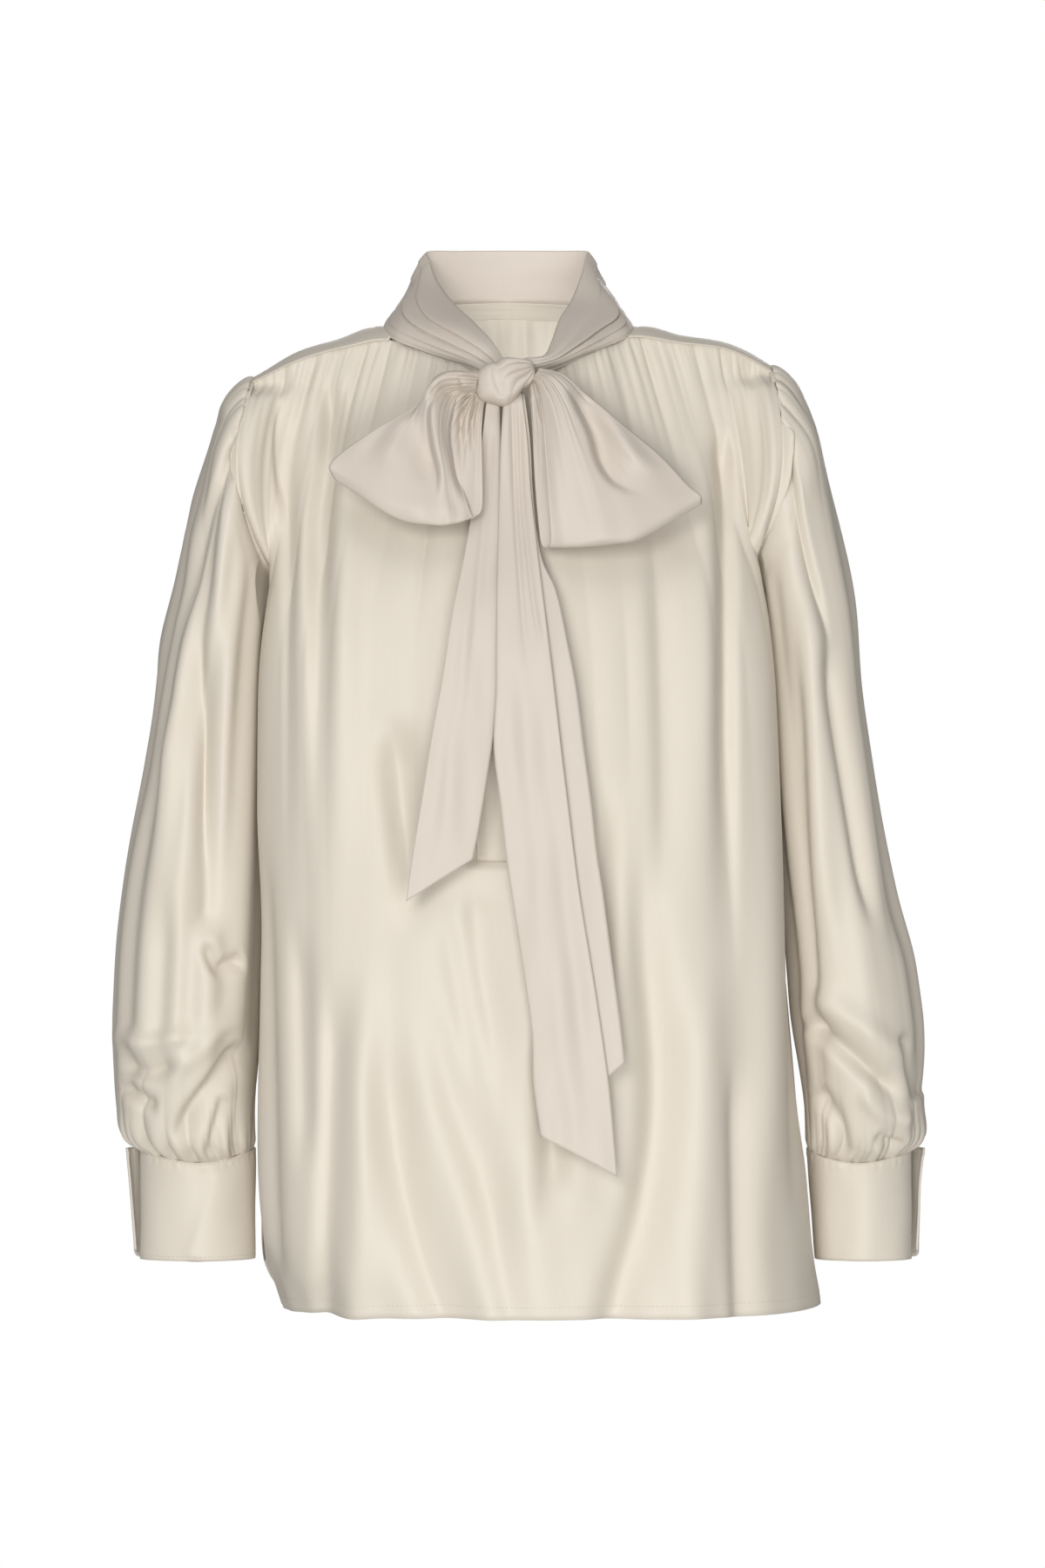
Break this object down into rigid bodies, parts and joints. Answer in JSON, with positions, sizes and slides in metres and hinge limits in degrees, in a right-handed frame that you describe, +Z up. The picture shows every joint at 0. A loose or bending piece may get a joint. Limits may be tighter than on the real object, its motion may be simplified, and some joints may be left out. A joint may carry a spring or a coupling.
{
  "type": "blouse",
  "caption": "Long-sleeved satin blouse with a gathered yoke front, high folded tie collar, large soft bow with slant-cut tails, and full sleeves in deep open cuffs.",
  "frame": {"origin": "midway between the shoulders, where the wearer holds the blouse up", "axes": "+Z up, the front faces -Y, +X is the wearer's left"},
  "size_m": [0.5878, 0.2912, 0.7768],
  "materials": {
    "satin": "soft matte satin",
    "tie_satin": "soft matte satin"
  },
  "bodies": {
    "root": {"front_panel": "satin", "back_panel": "satin", "shoulder_yoke": "satin", "front_placket": "satin", "sleeve_right": "satin", "sleeve_left": "satin", "cuff_right": "satin", "cuff_left": "satin", "collar": "tie_satin", "bow_knot": "tie_satin", "bow_loop_right": "tie_satin", "bow_loop_left": "tie_satin", "bow_tail_right": "tie_satin", "bow_tail_left": "tie_satin"}
  },
  "joints": []
}
